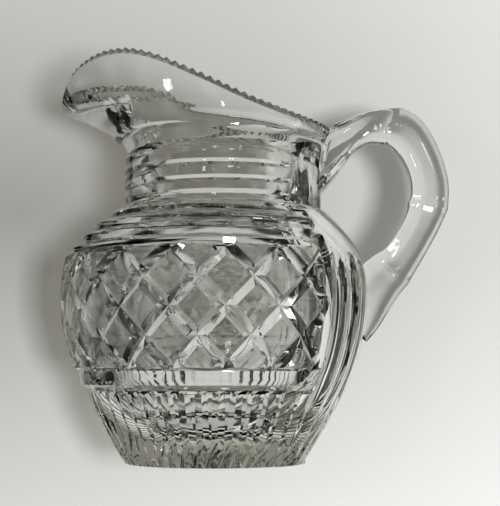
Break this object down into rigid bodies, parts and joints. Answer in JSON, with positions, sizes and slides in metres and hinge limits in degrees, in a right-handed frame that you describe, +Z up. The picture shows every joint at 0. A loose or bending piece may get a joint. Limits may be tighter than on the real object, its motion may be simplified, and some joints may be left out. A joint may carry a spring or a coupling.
{
  "type": "cream jug",
  "caption": "Cut glass cream jug with a diamond cut belly, ringed neck, notched rim, pouring lip and an applied loop handle.",
  "frame": {"origin": "centre of the flat resting face of the foot, on the axis of the belly", "axes": "+Z up, spout towards -X, handle towards +X"},
  "size_m": [0.0993, 0.0772, 0.1004],
  "materials": {
    "body_glass": "cut and polished lead glass",
    "handle_glass": "fire polished and flat cut lead glass"
  },
  "bodies": {
    "root": {"body": "body_glass", "handle": "handle_glass"}
  },
  "joints": []
}
